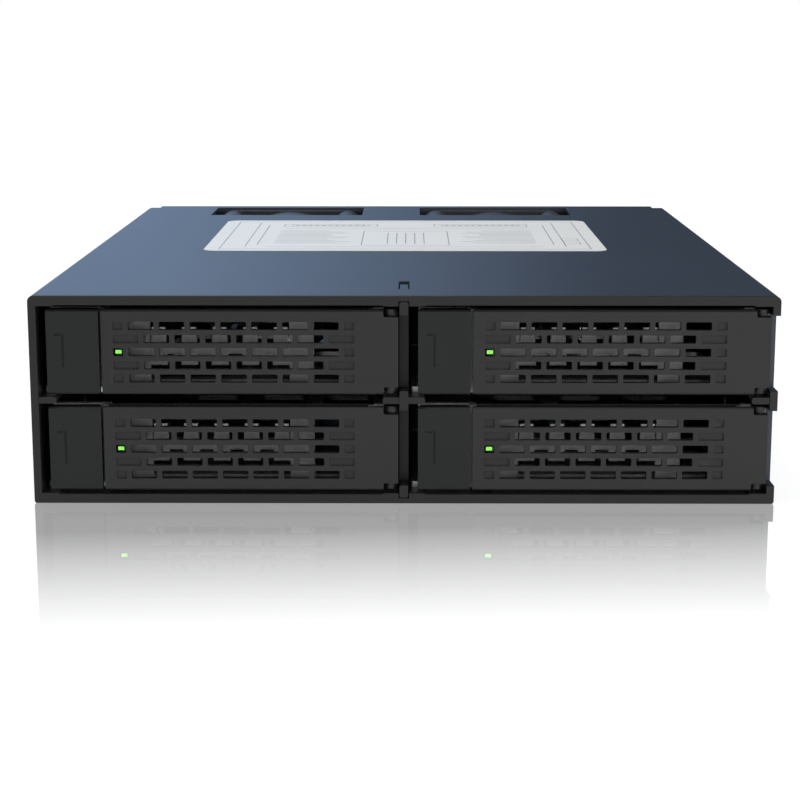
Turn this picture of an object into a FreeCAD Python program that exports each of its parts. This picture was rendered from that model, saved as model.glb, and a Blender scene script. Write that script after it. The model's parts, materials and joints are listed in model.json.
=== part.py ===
import FreeCAD, Part
import math
import os

# Hot swap drive cage: four 2.5 inch drive trays, two over two, in a folded steel shell that
# fills one half-height 5.25 inch bay. Millimetres, +Z up, +X to the right of someone facing
# the trays, front towards -Y. The origin is the centre of the footprint, on the underside.
# "depth" is always the distance behind the front plane.

# ---------------------------------------------------------------- driving dimensions
# Shell; overrun is how far a cutting tool runs past the surface it starts from
cage_width = 146.0
cage_depth = 177.8
cage_height = 41.3
sheet_t = 1.0
fold_r = 1.1
fold_over = 2 * fold_r
fold_inner_r = 0.3
rear_rim = 4.5
rear_corner_notch = 3.5
label_t = 0.12
label_width = 93.5
label_front = 72.0
label_rear = 138.0
label_r = 3.0
panel_t = 1.2
rear_flange_depth = 12.0
rear_flange_edge = 4.0
pan_flange_gap = 1.3
pan_flange_rise = 4.0
hem_gap = 0.2
hem_end_gap = 0.5
overrun = 1.0
lance_width = 2.2
lance_front = 9.8
lance_rear = 21.4
lance_hole = 5.0
lance_slit = 0.3

# Front frame
frame_lip = 1.0
frame_sleeve = 9.0
frame_wall = 1.5
frame_rail = 1.8
frame_bottom_r = 0.5
rail_step = 0.2
divider_slot_gap = 0.1
rail_gap = 0.1
hook_window_depth = 4.7
lug_rise = 2.0
mid_lug_h = 3.9
lug_w = 1.7
lug_r = 0.4
lug_inset = 0.15

# Divider, shelves and rails
divider_t = 1.9
shelf_t = 1.3
wall_shelf_w = 3.5
divider_shelf_w = 3.2
shelf_front = 0.2
shelf_tip_r = 0.55
ear_t = 1.0
ear_w = 5.0
ear_end_gap = 3.0
ear_hole_inset = 1.8

# Standard drive and its screws
drive_length = 100.45
tray_side_gap = 0.35
drive_front_gap = 0.6
board_gap = 3.55
drive_hole_across = 61.72
drive_hole_along = 76.6
drive_hole_from_end = 14.0
drive_hole_r = 1.7
drive_hole_sink_r = 2.6
drive_hole_sink = 0.6
connector_offset = 4.8
connector_height = 3.5

# Tray
tray_t = 1.2
tray_end_gap = 1.0
tray_root_r = 0.5
tray_corner_r = 2.0
screw_relief = 3.2
screw_relief_half = 2.0
face_recess = 0.3
face_rise = 0.55
face_head_gap = 0.75
face_t = 1.4
face_chamfer = 0.35
left_gap = 1.8
button_w = 10.3
face_seam = 0.45
right_gap = 0.15
carrier_gap = 2.1
carrier_t = 1.5
carrier_rise = 0.3
carrier_head_gap = 1.0
carrier_end_gap = 2.2
carrier_foot = 4.0
carrier_foot_t = 1.2
window_w = 12.0
window_r = 2.0
seat_gap = 0.1
link_wall = 1.2
foot_pipe_gap = 3.0
peg_end_gap = 0.1
window_bar = 5.0
window_first = 16.0
window_last = 12.0
window_rows = 3
window_columns = (-9.5, 6.5, 22.5)
keeper_length = 6.0
keeper_t = 0.5
keeper_side = 1.0
keeper_first = 33.5
peg_r = 1.2
peg_setback = 2.2
peg_inset = 6.0

# Lever and its hinge
tongue_notch_h = 1.43
tongue_notch_r = 0.4
pin_r = 0.8
pin_running_gap = 0.05
barrel_r = 1.45
pin_behind_face = 2.5
ear_r = 1.4
ear_gap = 0.1
return_t = 0.8
return_depth = 1.6
return_inset = 0.8
return_end_gap = 3.0
tongue_setback = 0.2
root_overlap = 0.2
hook_t = 0.8
hook_inset = 1.15
hook_gap = 0.2
hook_h = 4.0
hook_engage = 0.8

# Vents in the lever
vent_w = 5.0
vent_h = 1.6
vent_r = 0.3
vent_pitch_x = 6.0
vent_pitch_z = 2.6
vent_rows = 5
vents_across = 8
vent_left = 2.28
pocket_depth = 0.4

# Grille in the tray carrier, seen through the vents
first_finger = 1
last_finger = 5
side_cell = 6
side_opening_over = 0.7
grille_over = 0.3
grille_under = 0.9
grille_bar_over = 0.1
finger_head_gap = 0.2
finger_end_gap = 0.25
finger_w = 2.7
finger_root_w = 3.3

# Push button
button_stroke = 1.5
button_skirt = 1.6
button_skirt_t = 0.9
button_skirt_inset = 0.4
button_end_gap = 1.0
button_stem_r = 1.5
button_stem_gap = 0.1
snap_r = 2.2
snap_t = 1.0
snap_gap = 0.1
button_guide_r = 0.8
button_guide_rise = 5.6
button_groove_left = 1.6
button_groove_rise = 0.4
button_groove_w = 1.75
button_groove_h = 6.5
button_groove_line = 0.35
button_groove_depth = 0.25
spring_w = 6.4
spring_half = 4.0
spring_crown = 2.6
spring_t = 0.25
spring_end_gap = 0.03
spring_eye_gap = 0.4

# Light pipe
pipe_w = 1.4
pipe_h = 1.0
pipe_gap = 0.1
pipe_nose = 0.9
pipe_riser = 1.4
pipe_riser_gap = 0.4
pipe_end_gap = 1.2

# Backplane and what it carries
board_t = 1.6
board_edge_gap = 0.3
board_corner_r = 1.0
board_screw_edge = 10.0
air_slot_pitch = 20.5
air_slot_w = 17.0
air_slot_h = 6.5
air_slot_low = 9.0
air_slot_r = 1.5
screw_hole_gap = 0.15
lamp_w = 1.6
lamp_t = 0.7
lamp_r = 0.2
connector_w = 42.0
connector_h = 5.2
connector_depth = 8.0
connector_lip = 2.0
connector_key = 1.5
data_slot_end = 13.0
socket_slot_h = 1.6
socket_slot_depth = 5.0
riser_t = 1.6
riser_edge = 3.5
riser_front_gap = 1.5
riser_rear_gap = 3.0
riser_header_w = 5.0
riser_header_depth = 8.5
riser_header_edge = 8.0
riser_header_wall = 1.0
riser_tongue_gap = 0.1
fan_header_w = 8.0
fan_header_depth = 6.0
fan_header_low = 5.0
fan_header_h = 5.0
data_port_w = 6.2
data_port_edge = 1.15
data_port_gap = 2.0
data_port_depth = 12.5
power_port_w = 6.9
power_port_depth = 13.5
port_recess = 0.3
port_wall = 1.4
port_mouth_depth = 7.0
port_blade_t = 1.2
port_blade_inset = 1.3
port_blade_recess = 0.8
port_window_gap = 0.2
panel_hole_gap = 0.1

# Fans
fan_head_gap = 0.65
fan_depth = 20.0
fan_left_x = -32.5
fan_right_x = 24.4
fan_hole_r = 1.7
fan_post_r = 4.0
fan_barrel_gap = 0.25
fan_barrel_wall = 0.95
fan_flange_t = 3.0
fan_slot_gap = 0.6
fan_side_gap = 0.2
motor_plate_rim = 0.7
motor_plate_recess = 0.2
strut_w = 2.2
strut_turn = 20.0
strut_count = 4
grille_slot = 3.5
grille_web = 1.15
grille_rings = 3
grille_spoke_w = 1.6
grille_rim = 1.0
hub_r = 10.3
hub_wall = 1.1
hub_front_gap = 2.2
hub_rear_gap = 0.6
hub_nose_r = 1.2
hub_nose_t = 2.0
blade_inset = 0.8
blade_root = 0.5
blade_tip_gap = 0.8
blade_count = 7
blade_t = 0.9
blade_chord = 13.0
blade_pitch = 38.0
shaft_r = 1.0
shaft_running_gap = 0.05
shaft_nose_t = 0.6
shaft_end_gap = 0.6
bearing_r = 2.1
bearing_seat_gap = 0.02
bearing_front = 6.0
bearing_tube_wall = 1.1
stator_side_gap = 0.6
stator_tube_gap = 0.05
stator_rear_gap = 1.2
plug_inset = 0.6
plug_depth = 5.0
lead_r = 0.8
lead_run = 6.0
lead_side = 9.0
lead_step = 4.0
lead_dip = 15.0
lead_rise = 0.5
lead_low = 4.0

# Fasteners and mounts
screw_r = 1.25
csk_head_r = 2.5
case_screw_length = 3.2
case_screw_low = 6.0
case_screw_first = 7.9
case_screw_second = 0.7
rear_screw_edge = 10.0
rear_screw_inset = 6.3
cross_w = 0.6
cross_reach = 1.3
fan_screw_head_r = 2.5
fan_screw_head_h = 2.0
fan_screw_length = 9.0
board_screw_head_r = 2.3
board_screw_head_h = 1.6
board_screw_length = 4.0
mount_hole_r = 1.25
mount_first = 52.3
mount_pitch = 79.2
side_mount_low = 10.0
side_mount_high = 21.8
bottom_mount_across = 139.7

# Fan speed switch
switch_w = 4.0
switch_h = 8.0
switch_depth = 8.0
switch_panel_gap = 0.2
switch_edge_gap = 0.3
switch_port_gap = 2.0
switch_travel = 2.0
knob_w = 1.6
knob_h = 2.0
knob_reach = 1.6
knob_root = 2.9
knob_gap = 0.1
knob_slot_gap = 0.3
knob_r = 0.15

# ---------------------------------------------------------------- what follows from them
half_w = cage_width / 2
body_end = cage_depth - rear_rim
wall_x = half_w - frame_wall
shell_x = half_w - sheet_t
top_in = cage_height - sheet_t
bay_w = wall_x - divider_t / 2
frame_top = cage_height - frame_rail
shelf_top = (cage_height + shelf_t) / 2
shelf_bottom = shelf_top - shelf_t
runner_top = frame_rail + rail_step
bay_h = shelf_bottom - runner_top
face_h = bay_h - face_rise - face_head_gap
carrier_h = bay_h - carrier_rise - carrier_head_gap
rail_start = frame_sleeve + rail_gap
fan_front = body_end - fan_depth
fan_z = cage_height / 2
fan_size = cage_height - 2 * fan_head_gap
fan_hole_pitch = fan_size - 2 * fan_post_r
fan_barrel_r = fan_size / 2 - fan_barrel_gap
fan_bore_r = fan_barrel_r - fan_barrel_wall
fans = {"left": fan_left_x, "right": fan_right_x}
divider_ear_x = divider_t / 2 + ear_w - ear_hole_inset
wall_ear_x = wall_x - ear_w / 2
panel_rear = body_end + panel_t
top_lug_bottom = frame_top - lug_rise
bottom_lug_top = frame_rail + lug_rise - rail_step
mid_lug_bottom = (cage_height - mid_lug_h) / 2
mid_lug_top = (cage_height + mid_lug_h) / 2
mount_depths = (mount_first, mount_first + mount_pitch)
flange_x = shell_x - sheet_t
data_riser_x = (fan_left_x - fan_size / 2 - flange_x) / 2
power_riser_x = (fan_right_x + fan_size / 2 + flange_x) / 2
port_rear = panel_rear - port_recess
rear_screw_depth = body_end - rear_screw_inset

# Each bay: name, x of its left wall, z that its tray stands on.
bays = (
    ("upper_left", -wall_x, shelf_top),
    ("upper_right", divider_t / 2, shelf_top),
    ("lower_left", -wall_x, runner_top),
    ("lower_right", divider_t / 2, runner_top),
)

# Places inside a bay, from its left wall.
button_left = left_gap
button_right = button_left + button_w
lever_left = button_right + face_seam
lever_right = bay_w - right_gap
pin_x = lever_right - barrel_r
pin_depth = face_recess + pin_behind_face
face_back = face_recess + face_t
carrier_front = face_back + carrier_gap
carrier_rear = carrier_front + carrier_t
jog_front = face_back + button_skirt + button_stroke + button_end_gap
jog_rear = jog_front + carrier_t
carrier_end = pin_x - carrier_end_gap
hook_reach = carrier_front + hook_engage

# Vents: a row holds whole cells, every other row is shifted by half a pitch.
vent_bar = vent_pitch_x - vent_w
half_cell = vent_pitch_x / 2 - vent_bar
vent_field_h = vent_h + (vent_rows - 1) * vent_pitch_z
vent_top = (face_h - vent_field_h) / 2
side_opening = vent_left + half_cell + vent_bar + side_cell * vent_pitch_x
pipe_x = lever_left + vent_left + half_cell / 2

# Depths of the drive, the backplane and the screws behind it
drive_front = jog_rear + snap_gap + snap_t + button_stroke + drive_front_gap
drive_rear = drive_front + drive_length
board_front = drive_rear + board_gap
board_rear = board_front + board_t
ear_front = board_front - ear_t
case_screw_depths = (board_rear + case_screw_first, fan_front + case_screw_second)


# ---------------------------------------------------------------- shape helpers
def at(x, depth, z):
    return FreeCAD.Vector(x, depth - cage_depth / 2, z)


def block(x0, x1, d0, d1, z0, z1):
    return Part.makeBox(x1 - x0, d1 - d0, z1 - z0, at(x0, d0, z0))


def rod_x(depth, z, r, x0, x1):
    return Part.makeCylinder(r, x1 - x0, at(x0, depth, z), FreeCAD.Vector(1, 0, 0))


def rod_y(x, z, r, d0, d1):
    return Part.makeCylinder(r, d1 - d0, at(x, d0, z), FreeCAD.Vector(0, 1, 0))


def rod_z(x, depth, r, z0, z1):
    return Part.makeCylinder(r, z1 - z0, at(x, depth, z0), FreeCAD.Vector(0, 0, 1))


def cone_z(x, depth, r_low, r_high, z0, z1):
    return Part.makeCone(r_low, r_high, z1 - z0, at(x, depth, z0), FreeCAD.Vector(0, 0, 1))


def rounded_outline(a0, a1, b0, b1, r, place):
    """Rectangle in the plane of place(a, b); r is one radius, or a (lower, upper) pair."""
    low, high = r if isinstance(r, tuple) else (r, r)
    corners = ((a0, b0, 1, 1, low), (a1, b0, -1, 1, low), (a1, b1, -1, -1, high), (a0, b1, 1, -1, high))
    stops = []
    for index, (a, b, da, db, radius) in enumerate(corners):
        along_a = place(a + da * radius, b)
        along_b = place(a, b + db * radius)
        inset = radius * (1 - math.sqrt(0.5))
        middle = place(a + da * inset, b + db * inset)
        first, last = (along_b, along_a) if index % 2 == 0 else (along_a, along_b)
        stops.append((first, middle, last))
    edges = []
    for index, (first, middle, last) in enumerate(stops):
        if (last - first).Length > 1e-6:
            edges.append(Part.Arc(first, middle, last).toShape())
        following = stops[(index + 1) % 4][0]
        if (following - last).Length > 1e-6:
            edges.append(Part.LineSegment(last, following).toShape())
    return Part.Wire(edges)


def plate_y(x0, x1, d0, d1, z0, z1, r):
    wire = rounded_outline(x0, x1, z0, z1, r, lambda a, b: at(a, d0, b))
    return Part.Face(wire).extrude(FreeCAD.Vector(0, d1 - d0, 0))


def plate_z(x0, x1, d0, d1, z0, z1, r):
    wire = rounded_outline(x0, x1, d0, d1, r, lambda a, b: at(a, b, z0))
    return Part.Face(wire).extrude(FreeCAD.Vector(0, 0, z1 - z0))


def polygon_y(points, d0, d1):
    corners = [at(x, d0, z) for x, z in points]
    face = Part.Face(Part.makePolygon(corners + corners[:1]))
    return face.extrude(FreeCAD.Vector(0, d1 - d0, 0))


def joined(shapes):
    result = shapes[0].multiFuse(shapes[1:]) if len(shapes) > 1 else shapes[0]
    return result.removeSplitter()


def chamfered(shape, size, wanted):
    """Chamfers the straight edges whose middle satisfies wanted(x, depth, z)."""
    edges = []
    for edge in shape.Edges:
        middle = edge.valueAt((edge.FirstParameter + edge.LastParameter) / 2)
        if wanted(middle.x, middle.y + cage_depth / 2, middle.z):
            edges.append(edge)
    return shape.makeChamfer(size, edges)


def bent_tube(points, r):
    """Round tube along straight runs joined by tangent arcs."""
    edges = []
    start = points[0]
    for index in range(1, len(points) - 1):
        corner = points[index]
        back = (points[index - 1] - corner).normalize()
        ahead = (points[index + 1] - corner).normalize()
        run = min((points[index - 1] - corner).Length, (points[index + 1] - corner).Length)
        setback = 0.45 * run
        into = corner + back * setback
        out = corner + ahead * setback
        half_turn = (math.pi - back.getAngle(ahead)) / 2
        bend_r = setback / math.tan(half_turn)
        towards = (back + ahead).normalize()
        middle = corner + towards * (bend_r / math.cos(half_turn) - bend_r)
        edges.append(Part.LineSegment(start, into).toShape())
        edges.append(Part.Arc(into, middle, out).toShape())
        start = out
    edges.append(Part.LineSegment(start, points[-1]).toShape())
    path = Part.Wire(edges)
    ring = Part.Wire([Part.makeCircle(r, points[0], points[1] - points[0])])
    return path.makePipeShell([ring], True, False)


# ---------------------------------------------------------------- holes that several pieces share
def side_mount_holes(side):
    holes = []
    for depth in mount_depths:
        for z in (side_mount_low, side_mount_high):
            x0, x1 = sorted((side * (wall_x - wall_shelf_w - overrun), side * (half_w + overrun)))
            holes.append(rod_x(depth, z, mount_hole_r, x0, x1))
    return holes


def bottom_mount_holes():
    holes = []
    high = runner_top + overrun
    for side in (-1, 1):
        for depth in mount_depths:
            holes.append(rod_z(side * bottom_mount_across / 2, depth, mount_hole_r, -overrun, high))
    return holes


def case_screw_places():
    """(side, depth, z) of every countersunk screw through the shell's sides."""
    places = []
    for side in (-1, 1):
        for depth in case_screw_depths:
            places.append((side, depth, case_screw_low))
        for z in (rear_screw_edge, cage_height - rear_screw_edge):
            places.append((side, rear_screw_depth, z))
    return places


def case_screw(side, depth, z):
    """One countersunk screw, and the hole it fills; its head sits flush in the shell."""
    outward = FreeCAD.Vector(side, 0, 0)
    inner = at(side * (half_w - case_screw_length), depth, z)
    shank = Part.makeCylinder(screw_r, case_screw_length, inner, outward)
    seat = at(side * shell_x, depth, z)
    head = Part.makeCone(screw_r, csk_head_r, sheet_t, seat, outward)
    return joined([shank, head])


def board_screw_places():
    places = []
    for x in (-wall_ear_x, -divider_ear_x, divider_ear_x, wall_ear_x):
        for z in (board_screw_edge, cage_height - board_screw_edge):
            places.append((x, z))
    return places


def fan_hole_places(x):
    half = fan_hole_pitch / 2
    return [(x + sx * half, fan_z + sz * half) for sx in (-1, 1) for sz in (-1, 1)]


def port_boxes(riser_x, width, low_edges, height, depth):
    """Ports stand on both faces of a riser board, with their mouths to the rear."""
    boxes = []
    for z in low_edges:
        for x in (riser_x - riser_t / 2 - width, riser_x + riser_t / 2):
            boxes.append((x, x + width, port_rear - depth, port_rear, z, z + height))
    return boxes


riser_h = cage_height - 2 * riser_edge
data_port_h = (riser_h - 2 * data_port_edge - data_port_gap) / 2
data_port_low = riser_edge + data_port_edge
data_port_low_edges = (data_port_low, data_port_low + data_port_h + data_port_gap)
data_boxes = port_boxes(data_riser_x, data_port_w, data_port_low_edges, data_port_h, data_port_depth)
switch_x = power_riser_x + riser_t / 2
switch_mid_x = switch_x + switch_w / 2
switch_low = cage_height - riser_edge - switch_edge_gap - switch_h
switch_mid_z = switch_low + switch_h / 2
switch_rear = body_end - switch_panel_gap
knob_room = knob_h + switch_travel
power_port_h = switch_low - switch_port_gap - riser_edge
power_boxes = port_boxes(power_riser_x, power_port_w, (riser_edge,), power_port_h, power_port_depth)


# ---------------------------------------------------------------- shell
def fan_slots(z0, z1):
    slots = []
    for x in fans.values():
        half = fan_size / 2 + fan_slot_gap
        slots.append(block(x - half, x + half, fan_front - fan_side_gap, body_end + fan_side_gap, z0, z1))
    return slots


def top_cover():
    outer = plate_y(-half_w, half_w, frame_lip, body_end, -fold_over, cage_height, fold_r)
    inner = plate_y(-shell_x, shell_x, 0, cage_depth, -2 * fold_over, top_in, fold_inner_r)
    folded = outer.cut(inner).cut(block(-half_w, half_w, 0, cage_depth, -2 * fold_over, 0))
    strip_x = half_w - rear_corner_notch
    folded = joined([folded, block(-strip_x, strip_x, body_end - overrun, cage_depth, top_in, cage_height)])
    cuts = fan_slots(top_in - overrun, cage_height + overrun)
    half = lance_width / 2
    lance_mid = lance_rear - lance_hole
    low = top_in - overrun
    high = cage_height + overrun
    cuts.append(block(-half, half, lance_mid, lance_rear, low, high))
    for x in (-half, half - lance_slit):
        cuts.append(block(x, x + lance_slit, lance_front, lance_mid, low, high))
    cuts += hook_windows()
    for side in (-1, 1):
        cuts += side_mount_holes(side)
    cuts += [case_screw(side, depth, z) for side, depth, z in case_screw_places()]
    return folded.cut(cuts)


def top_label():
    half = label_width / 2
    return plate_z(-half, half, label_front, label_rear, cage_height, cage_height + label_t, label_r)


def bottom_pan():
    strip_x = half_w - rear_corner_notch
    pieces = [block(-shell_x, shell_x, frame_lip, body_end, 0, sheet_t)]
    pieces.append(block(-strip_x, strip_x, body_end - overrun, cage_depth, 0, sheet_t))
    flange_front = board_rear + board_screw_head_h + pan_flange_gap
    flange_rear = body_end - rear_flange_depth - pan_flange_gap
    flange_top = side_mount_low + pan_flange_rise
    for side in (-1, 1):
        x0, x1 = sorted((side * shell_x, side * flange_x))
        pieces.append(block(x0, x1, flange_front, flange_rear, 0, flange_top))
    cuts = fan_slots(-overrun, sheet_t + overrun) + bottom_mount_holes()
    for side in (-1, 1):
        cuts += side_mount_holes(side)
    cuts += [case_screw(side, depth, z) for side, depth, z in case_screw_places()]
    return joined(pieces).cut(cuts)


def hook_windows():
    """Room beside the right-hand trays for the tongues of their levers."""
    windows = []
    for z0, z1 in ((bottom_lug_top, mid_lug_bottom), (mid_lug_top, top_lug_bottom)):
        windows.append(block(wall_x - overrun, half_w + overrun, -overrun, hook_window_depth, z0, z1))
    return windows


def front_bezel():
    lip = plate_y(-half_w, half_w, 0, frame_lip, 0, cage_height, (frame_bottom_r, fold_r))
    sleeve = plate_y(-shell_x, shell_x, frame_lip, frame_sleeve, sheet_t, top_in, (0, fold_inner_r))
    opening = block(-wall_x, wall_x, -overrun, frame_sleeve + overrun, frame_rail, frame_top)
    frame = joined([lip, sleeve]).cut(opening)
    steps = []
    shelf_edges = (
        (-wall_x, -wall_x + wall_shelf_w),
        (-divider_t / 2 - divider_shelf_w, divider_t / 2 + divider_shelf_w),
        (wall_x - wall_shelf_w, wall_x),
    )
    for x0, x1 in shelf_edges:
        steps.append(block(x0, x1, 0, frame_sleeve, frame_top - rail_step, frame_top))
        steps.append(block(x0, x1, 0, frame_sleeve, frame_rail, frame_rail + rail_step))
    frame = joined([frame] + steps)
    notch_x = divider_t / 2 + divider_slot_gap
    notch_rear = frame_sleeve + overrun
    notches = [
        block(-notch_x, notch_x, -overrun, notch_rear, frame_top - overrun, top_in),
        block(-notch_x, notch_x, -overrun, notch_rear, sheet_t, frame_rail + overrun),
    ]
    return frame.cut(notches + hook_windows())


def ear_holes():
    front = ear_front - overrun
    return [rod_y(x, z, screw_r, front, board_front + overrun) for x, z in board_screw_places()]


def centre_divider():
    half = divider_t / 2
    pieces = [block(-half, half, hook_window_depth, board_front, sheet_t, top_in)]
    lug_spans = (
        (sheet_t + lug_inset, bottom_lug_top),
        (mid_lug_bottom, mid_lug_top),
        (top_lug_bottom, top_in - lug_inset),
    )
    for z0, z1 in lug_spans:
        pieces.append(plate_y(-lug_w / 2, lug_w / 2, 0, hook_window_depth + overrun, z0, z1, lug_r))
    reach = half + divider_shelf_w
    pieces.append(plate_y(-reach, reach, shelf_front, ear_front, shelf_bottom, shelf_top, shelf_tip_r))
    pieces.append(block(-reach, reach, rail_start, ear_front, sheet_t, runner_top))
    ear_x = half + ear_w
    pieces.append(block(-ear_x, ear_x, ear_front, board_front, ear_end_gap, cage_height - ear_end_gap))
    holes = ear_holes()
    return joined(pieces).cut(holes)


def side_rail(side):
    x_web = sorted((side * wall_x, side * shell_x))
    x_shelf = sorted((side * (wall_x - wall_shelf_w), side * wall_x))
    x_ear = sorted((side * (wall_x - ear_w), side * wall_x))
    web_top = top_in - fold_inner_r
    pieces = [block(*x_web, rail_start, board_front, sheet_t, web_top)]
    rounded = plate_y(*x_shelf, shelf_front, ear_front, shelf_bottom, shelf_top, shelf_tip_r)
    x_square = sorted((side * (wall_x - wall_shelf_w / 2), side * wall_x))
    pieces.append(rounded)
    pieces.append(block(*x_square, shelf_front, ear_front, shelf_bottom, shelf_top))
    pieces.append(block(*x_shelf, rail_start, ear_front, sheet_t, runner_top))
    pieces.append(block(*x_ear, ear_front, board_front, ear_end_gap, cage_height - ear_end_gap))
    holes = ear_holes()
    holes += side_mount_holes(side)
    holes += bottom_mount_holes()
    return joined(pieces).cut(holes)


def ring(x, z, r_in, r_out, d0, d1):
    return rod_y(x, z, r_out, d0, d1).cut(rod_y(x, z, r_in, d0 - overrun, d1 + overrun))


def fan_grille_cuts(x):
    """Rings of slots behind a fan, parted by four spokes."""
    rings = []
    for index in range(grille_rings):
        r_out = fan_bore_r - grille_rim - index * (grille_slot + grille_web)
        rings.append(ring(x, fan_z, r_out - grille_slot, r_out, body_end - overrun, panel_rear + overrun))
    half = grille_spoke_w / 2
    spokes = []
    for angle in (45, 135):
        spoke = block(-fan_bore_r, fan_bore_r, body_end - 2 * overrun, panel_rear + 2 * overrun, -half, half)
        spoke.rotate(at(0, 0, 0), FreeCAD.Vector(0, 1, 0), angle)
        spoke.translate(FreeCAD.Vector(x, 0, fan_z))
        spokes.append(spoke)
    return [one.cut(spokes) for one in rings]


def knob_slot(gap, d0, d1):
    """Room for the switch's knob over its whole travel, with a gap all round."""
    half_w_slot = knob_w / 2 + gap
    half_h_slot = knob_room / 2 + gap
    return block(switch_mid_x - half_w_slot, switch_mid_x + half_w_slot, d0, d1,
                 switch_mid_z - half_h_slot, switch_mid_z + half_h_slot)


def rear_panel():
    pieces = [plate_y(-half_w, half_w, body_end, panel_rear, sheet_t, top_in, 0)]
    hem_x = half_w - rear_corner_notch - hem_end_gap
    for z0 in (sheet_t, top_in - sheet_t):
        pieces.append(block(-hem_x, hem_x, body_end, cage_depth - hem_gap, z0, z0 + sheet_t))
    for side in (-1, 1):
        x0, x1 = sorted((side * shell_x, side * flange_x))
        pieces.append(block(x0, x1, body_end - rear_flange_depth, panel_rear, rear_flange_edge,
                            cage_height - rear_flange_edge))
    panel = joined(pieces)
    cuts = []
    panel_hole_r = fan_hole_r + panel_hole_gap
    for x in fans.values():
        cuts += fan_grille_cuts(x)
        for hole_x, hole_z in fan_hole_places(x):
            cuts.append(rod_y(hole_x, hole_z, panel_hole_r, body_end - overrun, panel_rear + overrun))
    for x0, x1, d0, d1, z0, z1 in data_boxes + power_boxes:
        gap = port_window_gap
        cuts.append(block(x0 - gap, x1 + gap, body_end - overrun, panel_rear + overrun, z0 - gap, z1 + gap))
    cuts.append(knob_slot(knob_slot_gap, body_end - overrun, panel_rear + overrun))
    cuts += [case_screw(side, depth, z) for side, depth, z in case_screw_places()]
    return panel.cut(cuts)


# ---------------------------------------------------------------- backplane and ports
def bay_centre(left):
    return left + bay_w / 2


def backplane_board():
    edge = shell_x - board_edge_gap * 2
    board = plate_y(-edge, edge, board_front, board_rear, sheet_t + board_edge_gap,
                    top_in - board_edge_gap, board_corner_r)
    half = air_slot_w / 2
    cuts = []
    for name, left, floor in bays:
        low = floor + air_slot_low
        for offset in (-air_slot_pitch, 0, air_slot_pitch):
            x = bay_centre(left) + offset
            cuts.append(plate_y(x - half, x + half, board_front - overrun, board_rear + overrun,
                                low, low + air_slot_h, air_slot_r))
    for x, z in board_screw_places():
        cuts.append(rod_y(x, z, screw_r + screw_hole_gap, board_front - overrun, board_rear + overrun))
    return board.cut(cuts)


def drive_connectors():
    sockets = []
    for name, left, floor in bays:
        x = bay_centre(left) + connector_offset
        z = floor + tray_t + connector_height
        front = board_front - connector_depth
        x0 = x - connector_w / 2
        x1 = x + connector_w / 2
        body = block(x0, x1, front, board_front, z - connector_h / 2, z + connector_h / 2)
        data_end = x0 + data_slot_end
        slots = []
        spans = ((x0 + connector_lip, data_end), (data_end + connector_key, x1 - connector_lip))
        for slot_x0, slot_x1 in spans:
            slots.append(block(slot_x0, slot_x1, front - overrun, front + socket_slot_depth,
                               z - socket_slot_h / 2, z + socket_slot_h / 2))
        sockets.append(body.cut(slots))
    return Part.makeCompound(sockets)


def status_leds():
    lamps = []
    for name, left, floor in bays:
        x = left + pipe_x
        z = floor + pipe_gap + pipe_h / 2
        lamps.append(plate_y(x - lamp_w / 2, x + lamp_w / 2, board_front - lamp_t, board_front,
                             z - pipe_h / 2, z + pipe_h / 2, lamp_r))
    return Part.makeCompound(lamps)


def board_headers():
    headers = []
    low = riser_header_edge
    high = cage_height - riser_header_edge
    rear = board_rear + riser_header_depth
    for x in (data_riser_x, power_riser_x):
        half = riser_header_w / 2
        body = block(x - half, x + half, board_rear, rear, low, high)
        slot = block(x - riser_t / 2, x + riser_t / 2, board_rear + riser_front_gap, rear + overrun,
                     low + riser_header_wall, high - riser_header_wall)
        headers.append(body.cut(slot))
    half = fan_header_w / 2
    for x in fans.values():
        headers.append(block(x - half, x + half, board_rear, board_rear + fan_header_depth,
                             fan_header_low, fan_header_low + fan_header_h))
    return Part.makeCompound(headers)


def riser_board(x):
    """Upright board that plugs into the backplane and carries ports at its rear end."""
    half = riser_t / 2
    tongue_edge = riser_header_edge + riser_header_wall + riser_tongue_gap
    card_front = board_rear + riser_header_depth + riser_tongue_gap
    tongue = block(x - half, x + half, board_rear + riser_front_gap, card_front + overrun,
                   tongue_edge, cage_height - tongue_edge)
    card = block(x - half, x + half, card_front, port_rear - riser_rear_gap,
                 riser_edge, cage_height - riser_edge)
    return joined([tongue, card])


def ports(boxes):
    """Open-mouthed shells, each with a contact blade on its floor."""
    shells = []
    for x0, x1, d0, d1, z0, z1 in boxes:
        body = block(x0, x1, d0, d1, z0, z1)
        mouth = block(x0 + port_wall, x1 - port_wall, d1 - port_mouth_depth, d1 + overrun,
                      z0 + port_wall, z1 - port_wall)
        mid = (x0 + x1) / 2
        inset = port_wall + port_blade_inset
        blade = block(mid - port_blade_t / 2, mid + port_blade_t / 2, d1 - port_mouth_depth - overrun,
                      d1 - port_blade_recess, z0 + inset, z1 - inset)
        shells.append(joined([body.cut(mouth), blade]))
    return Part.makeCompound(shells)


def speed_switch_body():
    body = block(switch_x, switch_x + switch_w, switch_rear - switch_depth, switch_rear,
                 switch_low, switch_low + switch_h)
    return body.cut(knob_slot(knob_gap, switch_rear - knob_root - knob_gap, switch_rear + overrun))


def speed_switch_slider():
    """Shown at the lower of its two stops."""
    low = switch_mid_z - knob_room / 2
    return plate_y(switch_mid_x - knob_w / 2, switch_mid_x + knob_w / 2, switch_rear - knob_root,
                   panel_rear + knob_reach, low, low + knob_h, knob_r)


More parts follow.
